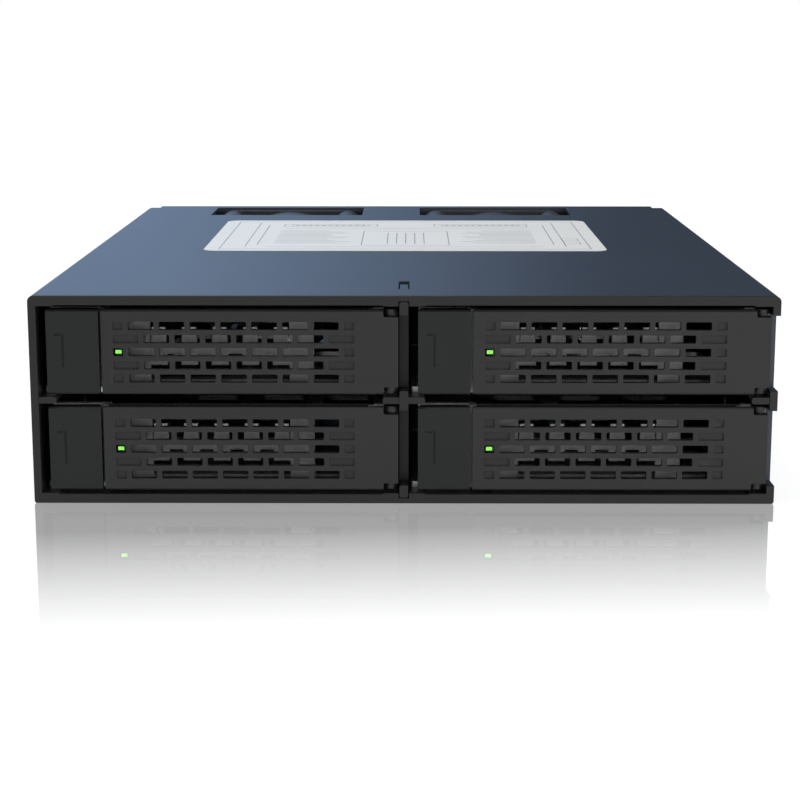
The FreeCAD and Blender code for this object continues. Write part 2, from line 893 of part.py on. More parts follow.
# ---------------------------------------------------------------- fans
def fan_frame(x):
    half = fan_size / 2
    rear_flange = body_end - fan_flange_t
    pieces = [rod_y(x, fan_z, fan_barrel_r, fan_front, body_end)]
    for d0 in (fan_front, rear_flange):
        pieces.append(plate_y(x - half, x + half, d0, d0 + fan_flange_t, fan_z - half, fan_z + half,
                              fan_post_r))
    for post_x, post_z in fan_hole_places(x):
        pieces.append(rod_y(post_x, post_z, fan_post_r, fan_front, body_end))
    shell = joined(pieces).cut(rod_y(x, fan_z, fan_bore_r, fan_front - overrun, body_end + overrun))
    plate_front = rear_flange + motor_plate_recess
    motor = [rod_y(x, fan_z, hub_r + motor_plate_rim, plate_front, body_end)]
    for index in range(strut_count):
        strut = block(0, fan_barrel_r - fan_barrel_wall / 2, plate_front, body_end, -strut_w / 2, strut_w / 2)
        strut.rotate(at(0, 0, 0), FreeCAD.Vector(0, 1, 0), strut_turn + index * 360 / strut_count)
        strut.translate(FreeCAD.Vector(x, 0, fan_z))
        motor.append(strut)
    tube_front = fan_front + bearing_front - overrun
    motor.append(rod_y(x, fan_z, bearing_r + bearing_tube_wall, tube_front, rear_flange + overrun))
    bores = [rod_y(x, fan_z, bearing_r + bearing_seat_gap, tube_front - overrun, rear_flange)]
    for hole_x, hole_z in fan_hole_places(x):
        bores.append(rod_y(hole_x, hole_z, fan_hole_r, fan_front - overrun, body_end + overrun))
    return joined([shell] + motor).cut(bores)


def fan_rotor(x):
    hub_front = fan_front + hub_front_gap
    hub_rear = body_end - fan_flange_t - hub_rear_gap
    cup = rod_y(x, fan_z, hub_r, hub_front, hub_rear)
    front_y = at(0, hub_front, 0).y
    cup = cup.makeFillet(hub_nose_r, [edge for edge in cup.Edges if abs(edge.BoundBox.YMax - front_y) < 1e-6])
    tip_r = fan_bore_r - blade_tip_gap
    blade_front = hub_front + blade_inset
    room = ring(x, fan_z, hub_r - blade_root, tip_r, blade_front, hub_rear)
    mid = (blade_front + hub_rear) / 2
    blades = []
    for index in range(blade_count):
        blade = block(-blade_t / 2, blade_t / 2, mid - blade_chord, mid + blade_chord, 0, tip_r + overrun)
        blade.rotate(at(0, mid, 0), FreeCAD.Vector(0, 0, 1), blade_pitch)
        blade.rotate(at(0, mid, 0), FreeCAD.Vector(0, 1, 0), 360.0 * index / blade_count)
        blade.translate(FreeCAD.Vector(x, 0, fan_z))
        blades.append(blade.common(room))
    cavity = rod_y(x, fan_z, hub_r - hub_wall, hub_front + hub_nose_t, hub_rear + overrun)
    rotor = joined([cup] + blades).cut(cavity)
    return rotor.cut(rod_y(x, fan_z, shaft_r, hub_front + shaft_nose_t, hub_rear))


def fan_shaft(x):
    plate_front = body_end - fan_flange_t + motor_plate_recess
    return rod_y(x, fan_z, shaft_r, fan_front + hub_front_gap + shaft_nose_t, plate_front - shaft_end_gap)


def fan_bearings():
    sleeves = []
    for x in fans.values():
        sleeves.append(ring(x, fan_z, shaft_r + shaft_running_gap, bearing_r, fan_front + bearing_front,
                            body_end - fan_flange_t))
    return Part.makeCompound(sleeves)


def fan_stators():
    """Coils round the bearing tubes, inside the hubs."""
    inner_r = bearing_r + bearing_tube_wall + stator_tube_gap
    outer_r = hub_r - hub_wall - stator_side_gap
    rear = body_end - fan_flange_t - stator_rear_gap
    return Part.makeCompound([ring(x, fan_z, inner_r, outer_r, fan_front + bearing_front, rear)
                              for x in fans.values()])


def fan_plugs():
    plugs = []
    half = fan_header_w / 2 - plug_inset
    front = board_rear + fan_header_depth
    low = fan_header_low + plug_inset
    high = fan_header_low + fan_header_h - plug_inset
    for x in fans.values():
        plugs.append(block(x - half, x + half, front, front + plug_depth, low, high))
    return Part.makeCompound(plugs)


def fan_leads():
    leads = []
    plug_rear = board_rear + fan_header_depth + plug_depth
    plug_z = fan_header_low + fan_header_h / 2
    for x in fans.values():
        route = [
            at(x, plug_rear, plug_z),
            at(x, plug_rear + lead_run, plug_z),
            at(x + lead_step, plug_rear + lead_dip, lead_low + lead_rise),
            at(x + lead_side, fan_front - lead_run, lead_low),
            at(x + lead_side, fan_front, lead_low),
        ]
        leads.append(bent_tube(route, lead_r))
    return Part.makeCompound(leads)


# ---------------------------------------------------------------- fasteners
def pan_head_screw(x, z, seat, head_r, head_h, shank_r, length):
    """Screw along +Y with its head behind the seat and its shank in front of it."""
    rear = seat + head_h
    head = rod_y(x, z, head_r, seat, rear)
    rear_y = at(0, rear, 0).y
    rim = [edge for edge in head.Edges if abs(edge.BoundBox.YMin - rear_y) < 1e-6]
    head = head.makeFillet(head_h / 3, rim)
    half = cross_w / 2
    reach = head_r / 2
    slot_front = seat + head_h / 2
    cross = [
        block(x - reach, x + reach, slot_front, rear + overrun, z - half, z + half),
        block(x - half, x + half, slot_front, rear + overrun, z - reach, z + reach),
    ]
    shank = rod_y(x, z, shank_r, seat - length, seat)
    return joined([head.cut(cross), shank])


def fan_screws():
    screws = []
    for x in fans.values():
        for hole_x, hole_z in fan_hole_places(x):
            screws.append(pan_head_screw(hole_x, hole_z, panel_rear, fan_screw_head_r, fan_screw_head_h,
                                         fan_hole_r, fan_screw_length))
    return Part.makeCompound(screws)


def backplane_screws():
    screws = []
    for x, z in board_screw_places():
        screws.append(pan_head_screw(x, z, board_rear, board_screw_head_r, board_screw_head_h, screw_r,
                                     board_screw_length))
    return Part.makeCompound(screws)


def case_screws():
    screws = []
    half = cross_w / 2
    for side, depth, z in case_screw_places():
        x0, x1 = sorted((side * (half_w - cross_w), side * (half_w + overrun)))
        cross = [
            block(x0, x1, depth - cross_reach, depth + cross_reach, z - half, z + half),
            block(x0, x1, depth - half, depth + half, z - cross_reach, z + cross_reach),
        ]
        screws.append(case_screw(side, depth, z).cut(cross))
    return Part.makeCompound(screws)


# ---------------------------------------------------------------- trays
def drive_hole_places(left):
    across = drive_hole_across / 2
    rear = drive_rear - drive_hole_from_end
    middle = bay_centre(left)
    return [(middle + side * across, depth) for side in (-1, 1) for depth in (rear - drive_hole_along, rear)]


def peg_places(left):
    depth = carrier_rear + peg_setback
    return [(left + x, depth) for x in (pipe_x + peg_inset, bay_w / 2, carrier_end - peg_inset)]


def tray_base(left, floor):
    middle = bay_centre(left)
    half = bay_w / 2 - tray_side_gap
    rear = drive_rear - tray_end_gap
    top = floor + tray_t
    low = floor - overrun
    high = top + overrun
    plate = plate_z(middle - half, middle + half, carrier_rear, rear, floor, top, (tray_root_r, tray_corner_r))
    cuts = []
    first_row = drive_front + window_first
    row_pitch = (rear - first_row - window_last) / window_rows
    for column in window_columns:
        x0 = middle + column - window_w / 2
        for row in range(window_rows):
            d0 = first_row + row * row_pitch
            cuts.append(plate_z(x0, x0 + window_w, d0, d0 + row_pitch - window_bar, low, high, window_r))
    for x, depth in drive_hole_places(left):
        cuts.append(rod_z(x, depth, drive_hole_r, low, high))
        cuts.append(cone_z(x, depth, drive_hole_sink_r, drive_hole_r, floor, floor + drive_hole_sink))
    for x, depth in peg_places(left):
        cuts.append(rod_z(x, depth, peg_r, low, high))
    for side in (-1, 1):
        x0, x1 = sorted((middle + side * (half - screw_relief), middle + side * (half + overrun)))
        for depth in mount_depths:
            cuts.append(block(x0, x1, depth - screw_relief_half, depth + screw_relief_half, low, high))
    pipe_half = pipe_w / 2 + pipe_gap
    x = left + pipe_x
    cuts.append(block(x - pipe_half, x + pipe_half, carrier_rear - overrun, rear + overrun, low, high))
    keepers = []
    reach = pipe_half + keeper_side
    for d0 in (drive_front + keeper_first, rear - tray_corner_r - keeper_length):
        keepers.append(block(x - reach, x + reach, d0, d0 + keeper_length, top, top + keeper_t))
    return joined([plate.cut(cuts)] + keepers)


def below_lever_top(floor, drop):
    return floor + face_rise + face_h - drop


def row_top(floor, row):
    """Top edge of a row of vents; row 0 is the uppermost."""
    return below_lever_top(floor, vent_top + row * vent_pitch_z)


def vent_row_z(floor, row):
    """Height of the middle of a row of vents."""
    return row_top(floor, row) - vent_h / 2


def finger_x(left, index):
    """Middle of one upright finger of the grille, behind the middle of a cell."""
    return left + lever_left + vent_left + vent_w / 2 + index * vent_pitch_x


def grille_openings(left, floor):
    """Where the tray's front is open behind the vents."""
    z0 = row_top(floor, vent_rows - 1) - vent_h - grille_under
    z1 = row_top(floor, 0) + grille_over
    half = finger_root_w / 2
    side = left + lever_left + side_opening
    spans = (
        (finger_x(left, first_finger) - half, finger_x(left, last_finger) + half),
        (side, side + vent_w + side_opening_over),
    )
    return [block(x0, x1, carrier_front - overrun, carrier_rear + overrun, z0, z1) for x0, x1 in spans]


def grille_bars(left, floor):
    """One bar across the opening and the fingers that stand on it and hang from it."""
    half_top = finger_w / 2
    half_root = finger_root_w / 2
    bar_top = row_top(floor, 2) + grille_bar_over
    bar_low = row_top(floor, 2) - vent_h - grille_bar_over
    tip = row_top(floor, 0) - vent_h - finger_head_gap
    low = row_top(floor, 3) - vent_h + finger_end_gap
    bars = [block(finger_x(left, first_finger) - half_top, finger_x(left, last_finger) + half_top,
                  carrier_front, carrier_rear, bar_low, bar_top)]
    for index in range(first_finger, last_finger + 1):
        x = finger_x(left, index)
        outline = (
            (x - half_root, bar_low), (x + half_root, bar_low), (x + half_top, tip), (x - half_top, tip),
        )
        bars.append(polygon_y(outline, carrier_front, carrier_rear))
        bars.append(block(x - half_root, x + half_root, carrier_front, carrier_rear, low, bar_low))
    return bars


def hinge_ears(left, floor):
    """Upper and lower ear round the pin, each with the arm that carries it."""
    ear_h = tongue_notch_h - ear_gap
    low = floor + face_rise
    pin = left + pin_x
    pieces = []
    for z in (low, low + face_h - ear_h):
        pieces.append(rod_z(pin, pin_depth, ear_r, z, z + ear_h))
        pieces.append(block(pin - ear_r, pin, pin_depth, carrier_rear, z, z + ear_h))
        pieces.append(block(left + carrier_end - link_wall, pin, carrier_front, carrier_rear, z, z + ear_h))
    return pieces


def tray_carrier(left, floor):
    """Die-cast front of a tray: grille plate, button seat, hinge ears and foot."""
    z0 = floor + carrier_rise
    z1 = z0 + carrier_h
    base_top = floor + tray_t
    foot_top = base_top + carrier_foot_t
    seat_left = left + button_left + seat_gap
    link = left + button_right
    end = left + carrier_end
    pieces = [
        block(link, end, carrier_front, carrier_rear, z0, z1),
        block(seat_left, link, jog_front, jog_rear, base_top, z1),
        block(link, link + link_wall, carrier_front, jog_rear, base_top, z1),
        block(left + pipe_x + foot_pipe_gap, end, carrier_rear, carrier_rear + carrier_foot, base_top,
              foot_top),
    ]
    for x, depth in peg_places(left):
        pieces.append(rod_z(x, depth, peg_r, floor + peg_end_gap, foot_top))
    carrier = joined(pieces + hinge_ears(left, floor)).cut(grille_openings(left, floor))
    carrier = joined([carrier] + grille_bars(left, floor))
    stem_x, stem_z = button_axis(left, floor)
    holes = [rod_y(stem_x, stem_z, button_stem_r + button_stem_gap, jog_front - overrun, jog_rear + overrun)]
    guide_hole_r = button_guide_r + button_stem_gap
    for rise in (-button_guide_rise, button_guide_rise):
        holes.append(rod_y(stem_x, stem_z + rise, guide_hole_r, jog_front - overrun, jog_rear + overrun))
    holes.append(rod_z(left + pin_x, pin_depth, pin_r, floor, z1 + overrun))
    window_z = vent_row_z(floor, 2)
    pipe_half_w = pipe_w / 2 + pipe_gap
    pipe_half_h = pipe_h / 2 + pipe_gap
    x = left + pipe_x
    holes.append(block(x - pipe_half_w, x + pipe_half_w, carrier_front - overrun, carrier_rear + overrun,
                       window_z - pipe_half_h, window_z + pipe_half_h))
    hook_x = left + lever_left + hook_inset
    hook_half_h = hook_h / 2 + 2 * hook_gap
    holes.append(block(hook_x - hook_gap, hook_x + hook_t + hook_gap, carrier_front - overrun,
                       carrier_rear + overrun, window_z - hook_half_h, window_z + hook_half_h))
    return carrier.cut(holes)


def hinge_pin(left, floor):
    low = floor + face_rise
    return rod_z(left + pin_x, pin_depth, pin_r, low, low + face_h)


def vent_cells(left, floor):
    """Cells as (x0, x1, z0, z1, goes_through), rows staggered by half a pitch."""
    cells = []
    field = left + lever_left + vent_left
    second = field + half_cell + vent_bar
    last = second + (vents_across - 1) * vent_pitch_x
    for row in range(vent_rows):
        spans = []
        if row % 2:
            for index in range(vents_across):
                x = field + index * vent_pitch_x
                spans.append((x, x + vent_w, 0 < index < vents_across - 1))
        else:
            spans.append((field, field + half_cell, row == 2))
            for index in range(vents_across - 1):
                x = second + index * vent_pitch_x
                spans.append((x, x + vent_w, True))
            spans.append((last, last + half_cell, False))
        z1 = row_top(floor, row)
        for x0, x1, through in spans:
            cells.append((x0, x1, z1 - vent_h, z1, through))
    return cells


def face_plate(x0, x1, floor):
    """Front plate of a lever or button, its long front edges chamfered."""
    z0 = floor + face_rise
    z1 = z0 + face_h
    plate = block(x0, x1, face_recess, face_back, z0, z1)

    def long_front_edge(x, depth, z):
        on_front = abs(depth - face_recess) < 1e-6
        return on_front and (abs(z - z0) < 1e-6 or abs(z - z1) < 1e-6)

    return chamfered(plate, face_chamfer, long_front_edge)


def lever(left, floor):
    x0 = left + lever_left
    x1 = left + lever_right
    z0 = floor + face_rise
    z1 = z0 + face_h
    notch_x = x1 - 2 * barrel_r
    notch_front = face_recess - overrun
    notch_rear = face_back + overrun
    tongue_low = z0 + tongue_notch_h
    tongue_high = z1 - tongue_notch_h
    cuts = [
        plate_y(notch_x, x1 + overrun, notch_front, notch_rear, tongue_high, z1 + overrun, tongue_notch_r),
        plate_y(notch_x, x1 + overrun, notch_front, notch_rear, z0 - overrun, tongue_low, tongue_notch_r),
    ]
    for cx0, cx1, cz0, cz1, through in vent_cells(left, floor):
        rear = notch_rear if through else face_recess + pocket_depth
        cuts.append(plate_y(cx0, cx1, notch_front, rear, cz0, cz1, vent_r))
    plate = face_plate(x0, x1, floor).cut(cuts)
    pieces = [
        plate,
        block(notch_x, x1, face_recess + tongue_setback, pin_depth, tongue_low, tongue_high),
        rod_z(left + pin_x, pin_depth, barrel_r, tongue_low, tongue_high),
    ]
    root = face_back - root_overlap
    for low in (z0, z1 - return_t):
        pieces.append(block(x0 + return_inset, notch_x - return_end_gap, root, face_back + return_depth,
                            low, low + return_t))
    hook_mid = vent_row_z(floor, 2)
    hook_x = x0 + hook_inset
    pieces.append(block(hook_x, hook_x + hook_t, root, hook_reach, hook_mid - hook_h / 2,
                        hook_mid + hook_h / 2))
    bore = rod_z(left + pin_x, pin_depth, pin_r + pin_running_gap, z0 - overrun, z1 + overrun)
    return joined(pieces).cut(bore)


def button_axis(left, floor):
    return left + button_left + button_w / 2, floor + face_rise + face_h / 2


def push_button(left, floor):
    x0 = left + button_left
    x1 = left + button_right
    x, z = button_axis(left, floor)
    groove_x1 = x0 + button_groove_left + button_groove_w
    groove_z1 = z + button_groove_rise + button_groove_h / 2
    line = button_groove_line
    front = face_recess - overrun
    rear = face_recess + button_groove_depth
    grooves = [
        block(groove_x1 - line, groove_x1, front, rear, groove_z1 - button_groove_h, groove_z1),
        block(groove_x1 - button_groove_w, groove_x1, front, rear, groove_z1 - line, groove_z1),
    ]
    root = face_back - root_overlap
    snap_front = jog_rear + snap_gap
    pieces = [
        face_plate(x0, x1, floor).cut(grooves),
        rod_y(x, z, button_stem_r, root, snap_front + snap_t),
        rod_y(x, z, snap_r, snap_front, snap_front + snap_t),
    ]
    for rise in (-button_guide_rise, button_guide_rise):
        pieces.append(rod_y(x, z + rise, button_guide_r, root, jog_rear))
    low = floor + face_rise
    for z0 in (low, low + face_h - button_skirt_t):
        pieces.append(block(x0 + button_skirt_inset, x1 - button_skirt_inset, root, face_back + button_skirt,
                            z0, z0 + button_skirt_t))
    return joined(pieces)


def button_spring(left, floor):
    """Bowed leaf round the button's stem: its ends lie on the seat, its crown on the button's back."""
    x, z = button_axis(left, floor)
    crown = face_back + spring_end_gap
    feet = jog_front - spring_end_gap
    outer = (
        (-spring_half, feet), (-spring_crown, crown), (spring_crown, crown), (spring_half, feet),
        (spring_half - spring_t, feet), (spring_crown - spring_t, crown + spring_t),
        (spring_t - spring_crown, crown + spring_t), (spring_t - spring_half, feet),
    )
    corners = [at(x + dx, depth, z - spring_w / 2) for dx, depth in outer]
    leaf = Part.Face(Part.makePolygon(corners + corners[:1])).extrude(FreeCAD.Vector(0, 0, spring_w))
    return leaf.cut(rod_y(x, z, button_stem_r + spring_eye_gap, crown - overrun, crown + spring_t + overrun))


def light_pipe(left, floor):
    """Clear bar in the tray's slot, from the backplane's lamp up to the lever's window."""
    x0 = left + pipe_x - pipe_w / 2
    x1 = x0 + pipe_w
    low = floor + pipe_gap
    window_low = vent_row_z(floor, 2) - pipe_h / 2
    riser_front = carrier_rear + pipe_riser_gap
    riser_rear = riser_front + pipe_riser
    pieces = [
        block(x0, x1, riser_front, board_front - pipe_end_gap, low, low + pipe_h),
        block(x0, x1, riser_front, riser_rear, low, window_low + pipe_h),
        block(x0, x1, pipe_nose, riser_rear, window_low, window_low + pipe_h),
    ]
    return joined(pieces)


# ---------------------------------------------------------------- write every piece
def all_pieces():
    pieces = {
        "front_bezel": front_bezel(),
        "top_cover": top_cover(),
        "bottom_pan": bottom_pan(),
        "centre_divider": centre_divider(),
        "side_rail_left": side_rail(-1),
        "side_rail_right": side_rail(1),
        "rear_panel": rear_panel(),
        "top_label": top_label(),
        "backplane_board": backplane_board(),
        "drive_connectors": drive_connectors(),
        "status_leds": status_leds(),
        "board_headers": board_headers(),
        "data_riser_board": riser_board(data_riser_x),
        "data_ports": ports(data_boxes),
        "power_riser_board": riser_board(power_riser_x),
        "power_ports": ports(power_boxes),
        "speed_switch_body": speed_switch_body(),
        "speed_switch_slider": speed_switch_slider(),
        "fan_bearings": fan_bearings(),
        "fan_stators": fan_stators(),
        "fan_plugs": fan_plugs(),
        "fan_leads": fan_leads(),
        "fan_screws": fan_screws(),
        "backplane_screws": backplane_screws(),
        "case_screws": case_screws(),
    }
    for side, x in fans.items():
        pieces["fan_frame_" + side] = fan_frame(x)
        pieces["fan_rotor_" + side] = fan_rotor(x)
        pieces["fan_shaft_" + side] = fan_shaft(x)
    for name, left, floor in bays:
        pieces["tray_base_" + name] = tray_base(left, floor)
        pieces["tray_front_" + name] = tray_carrier(left, floor)
        pieces["hinge_pin_" + name] = hinge_pin(left, floor)
        pieces["light_pipe_" + name] = light_pipe(left, floor)
        pieces["lever_" + name] = lever(left, floor)
        pieces["push_button_" + name] = push_button(left, floor)
        pieces["button_spring_" + name] = button_spring(left, floor)
    return pieces


os.makedirs("parts", exist_ok=True)
for node, shape in all_pieces().items():
    if not shape.isValid() or not shape.Solids:
        print("check this piece:", node)
    shape.exportStep(os.path.join("parts", node + ".step"))
    print(node, len(shape.Solids), "solid(s), volume", round(shape.Volume, 2))
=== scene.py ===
import json
import math

import bmesh
import bpy
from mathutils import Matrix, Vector


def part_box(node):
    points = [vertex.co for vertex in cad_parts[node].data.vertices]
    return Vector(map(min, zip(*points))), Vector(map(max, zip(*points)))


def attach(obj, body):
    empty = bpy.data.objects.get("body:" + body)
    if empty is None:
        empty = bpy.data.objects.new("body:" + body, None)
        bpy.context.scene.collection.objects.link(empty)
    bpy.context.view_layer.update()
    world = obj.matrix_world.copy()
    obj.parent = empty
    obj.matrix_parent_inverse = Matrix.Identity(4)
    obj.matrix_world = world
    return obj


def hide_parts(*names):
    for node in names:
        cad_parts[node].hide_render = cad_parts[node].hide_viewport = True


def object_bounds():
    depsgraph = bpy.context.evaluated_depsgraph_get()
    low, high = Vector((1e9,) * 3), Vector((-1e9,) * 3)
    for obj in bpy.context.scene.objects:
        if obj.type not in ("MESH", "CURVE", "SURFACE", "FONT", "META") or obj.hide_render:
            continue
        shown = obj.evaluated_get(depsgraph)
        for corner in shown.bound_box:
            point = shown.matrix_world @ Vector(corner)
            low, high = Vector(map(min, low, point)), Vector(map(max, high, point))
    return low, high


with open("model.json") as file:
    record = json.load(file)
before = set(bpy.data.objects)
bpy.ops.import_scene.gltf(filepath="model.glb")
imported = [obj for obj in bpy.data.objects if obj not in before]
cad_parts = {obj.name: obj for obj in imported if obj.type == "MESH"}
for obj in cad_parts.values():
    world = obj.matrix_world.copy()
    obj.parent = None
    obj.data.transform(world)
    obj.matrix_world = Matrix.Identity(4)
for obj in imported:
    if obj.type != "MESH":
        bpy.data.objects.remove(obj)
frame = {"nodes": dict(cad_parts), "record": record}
cad_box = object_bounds()

MM = 0.001
BAYS = ("upper_left", "upper_right", "lower_left", "lower_right")

# ---------------------------------------------------------------- sizes, in metres, and places from the frame
front_y = cad_box[0].y

# Label film and its print
film_corner = 3 * MM
film_corner_steps = 8
ink_t = 0.012 * MM

# Lens end of a light pipe
lens_side_inset = 0.12 * MM
lens_end_inset = 0.17 * MM
lens_proud = 0.12 * MM
lens_sunk = 0.08 * MM
lens_edge = 0.06 * MM

# Vents of a lever, and the tabs behind their top row
vent_top = 2.35 * MM
vent_h = 1.6 * MM
vent_pitch = 6.0 * MM
first_web = 10.78 * MM
webs = 5
carrier_depth = 3.8 * MM
tab_half_w = 1.35 * MM
tab_proud = 0.22 * MM
tab_sunk = 0.05 * MM
tab_drop = 0.42 * MM
tab_rise = 0.02 * MM
tab_edge = 0.05 * MM

# Rounded edges of levers and buttons
weld_gap = 0.002 * MM
soft_edge = 0.14 * MM
flat_angle = math.radians(1.5)
soft_angle = math.radians(50)

# Drive sockets and their contacts
socket_right = 4.8 * MM
socket_rise = 4.7 * MM
socket_half_w = 21 * MM
socket_pins = 22
pins_before_key = 7
key_gap = 3.2 * MM
pin_inset = 2.6 * MM
pin_pitch = 1.52 * MM
pin_w = 0.8 * MM
pin_limit = 18.6 * MM
pin_bottom = 0.78 * MM
pin_top = 0.52 * MM
pin_start = 1.2 * MM
pin_end = 4.9 * MM
pin_edge = 0.05 * MM

# Rear ports and their contacts: pins, ports above each other, and the board that carries them
PORTS = {"data_ports": (7, 2, "data_riser_board"), "power_ports": (15, 1, "power_riser_board")}
riser_t = 1.6 * MM
port_gap = 2.0 * MM
port_margin = 3.1 * MM
blade_half_t = 0.61 * MM
contact_t = 0.11 * MM
contact_root = 6.0 * MM
contact_tip = 1.1 * MM
contact_share = 0.6

# Small parts on the rear of the backplane
small_parts = 14
small_first = 14 * MM
small_pitch = 8.6 * MM
small_z = 19.2 * MM
small_wander = 2.6 * MM
small_w = 1.6 * MM
small_t = 0.6 * MM
small_h = 0.9 * MM
end_w = 0.35 * MM
end_over = 0.02 * MM
end_out = 0.25 * MM
end_in = 1.5 * MM
chip_places = (-22 * MM, 6 * MM, 40 * MM)
chip_z = 26 * MM
chip_w = 6 * MM
chip_t = 1.2 * MM
chip_h = 5 * MM
chip_legs = 6
leg_first = 0.4 * MM
leg_pitch = 1 * MM
leg_w = 0.4 * MM
leg_t = 0.4 * MM
leg_reach = 0.8 * MM
resin_edge = 0.08 * MM
end_edge = 0.04 * MM

# Floor: how much of it is plain white, and its strength near the middle and far out
floor_size = 6.0
floor_drop = 0.02 * MM
white_share = 0.75
white_near = 0.25
white_far = 1.5
white_strength = 1.12
far_strength = 1.3

# Mirror strip in front of the cage
mirror_most = 0.66
mirror_slant = -0.06
mirror_full = 18 * MM
mirror_gone = 80 * MM
mirror_inner = 76 * MM
mirror_outer = 92 * MM

# World and card
world_strength = 1.0
gloss_strength = 0.42
light_strength = 0.5
card_y = 0.62
card_half_w = 2.2
card_h = 1.9
pale_x = -0.15
dark_x = 0.11
card_pale = (0.42, 0.60, 0.91, 1)
card_dark = (0.05, 0.06, 0.09, 1)

# Lamps and camera
aim = Vector((0, 0, 0.02))
camera_lens = 85.5
camera_sensor = 36
camera_x = 1.35 * MM
camera_ahead = 364 * MM
camera_z = 94.3 * MM
camera_down = math.radians(11.41)
camera_turn = math.radians(0.33)


# ---------------------------------------------------------------- node helpers
def maker(tree):
    """A function that adds a shader node to tree and sets its properties."""
    def node(kind, **settings):
        made = tree.nodes.new("ShaderNode" + kind)
        for key, value in settings.items():
            setattr(made, key, value)
        return made
    return node


def empty_tree(owner):
    """Node maker and link maker of a material or world whose nodes are cleared first."""
    owner.use_nodes = True
    owner.node_tree.nodes.clear()
    return maker(owner.node_tree), owner.node_tree.links.new


def principled(name):
    """A new node material: (material, node maker, link maker, its Principled shader)."""
    material = bpy.data.materials.new(name)
    material.use_nodes = True
    tree = material.node_tree
    return material, maker(tree), tree.links.new, tree.nodes["Principled BSDF"]


def noise(node, link, coords, size, detail=3.0, stretch=(1, 1, 1)):
    """Noise whose grains are about size metres across, longer where stretch is under 1."""
    scale = node("Mapping")
    scale.inputs["Scale"].default_value = stretch
    texture = node("TexNoise")
    texture.inputs["Scale"].default_value = 1 / size
    texture.inputs["Detail"].default_value = detail
    link(coords, scale.inputs["Vector"])
    link(scale.outputs["Vector"], texture.inputs["Vector"])
    return texture.outputs["Fac"]


def ramp(node, link, source, low, high, to_low, to_high):
    """source from low..high to to_low..to_high, clamped."""
    mapped = node("MapRange")
    for socket, value in zip(("From Min", "From Max", "To Min", "To Max"), (low, high, to_low, to_high)):
        mapped.inputs[socket].default_value = value
    link(source, mapped.inputs["Value"])
    return mapped.outputs["Result"]


def spread(node, link, source, low, high):
    """A noise, which mostly lies between 0.3 and 0.7, spread over low..high."""
    return ramp(node, link, source, 0.3, 0.7, low, high)


def mixed(node, link, factor, first, second):
    """Colour mix; factor, first and second are each a socket or a plain value."""
    mix = node("Mix", data_type="RGBA")
    for name, value in (("Factor", factor), ("A", first), ("B", second)):
        socket = mix.inputs[name]
        if isinstance(value, (int, float, tuple)):
            socket.default_value = value
        else:
            link(value, socket)
    return mix.outputs["Result"]


def blended(node, link, factor, first, second):
    """Shader mix of two shader sockets."""
    mix = node("MixShader")
    link(factor, mix.inputs["Fac"])
    link(first, mix.inputs[1])
    link(second, mix.inputs[2])
    return mix.outputs["Shader"]


def math_of(node, link, operation, first, second):
    """Math node on two sockets."""
    made = node("Math", operation=operation)
    link(first, made.inputs[0])
    link(second, made.inputs[1])
    return made.outputs["Value"]


def any_ray(node, link, rays, names):
    """1 where the ray is of one of the named kinds."""
    seen = rays.outputs[names[0]]
    for name in names[1:]:
        seen = math_of(node, link, "MAXIMUM", seen, rays.outputs[name])
    return seen


def axis(node, link, coords, letter):
    """One coordinate of coords."""
    apart = node("SeparateXYZ")
    link(coords, apart.inputs["Vector"])
    return apart.outputs[letter]


# ---------------------------------------------------------------- materials
def times(colour, share):
    """colour made share times as bright, up to white, with its alpha."""
    return tuple(min(1.0, c * share) for c in colour[:3]) + (1.0,)


def edge_rub(node, link, radius, scuffs, wear):
    """Rounded normal, and how far an edge is rubbed: 0 on flats, up to wear on scuffed edges."""
    rounded = node("Bevel", samples=4)
    rounded.inputs["Radius"].default_value = radius
    facing = node("VectorMath", operation="DOT_PRODUCT")
    link(rounded.outputs["Normal"], facing.inputs[0])
    link(node("NewGeometry").outputs["Normal"], facing.inputs[1])
    rim = ramp(node, link, facing.outputs["Value"], 0.995, 0.90, 0.0, 1.0)
    scuffed = ramp(node, link, scuffs, 0.42, 0.66, 0.0, wear)
    return rounded.outputs["Normal"], math_of(node, link, "MULTIPLY", rim, scuffed)


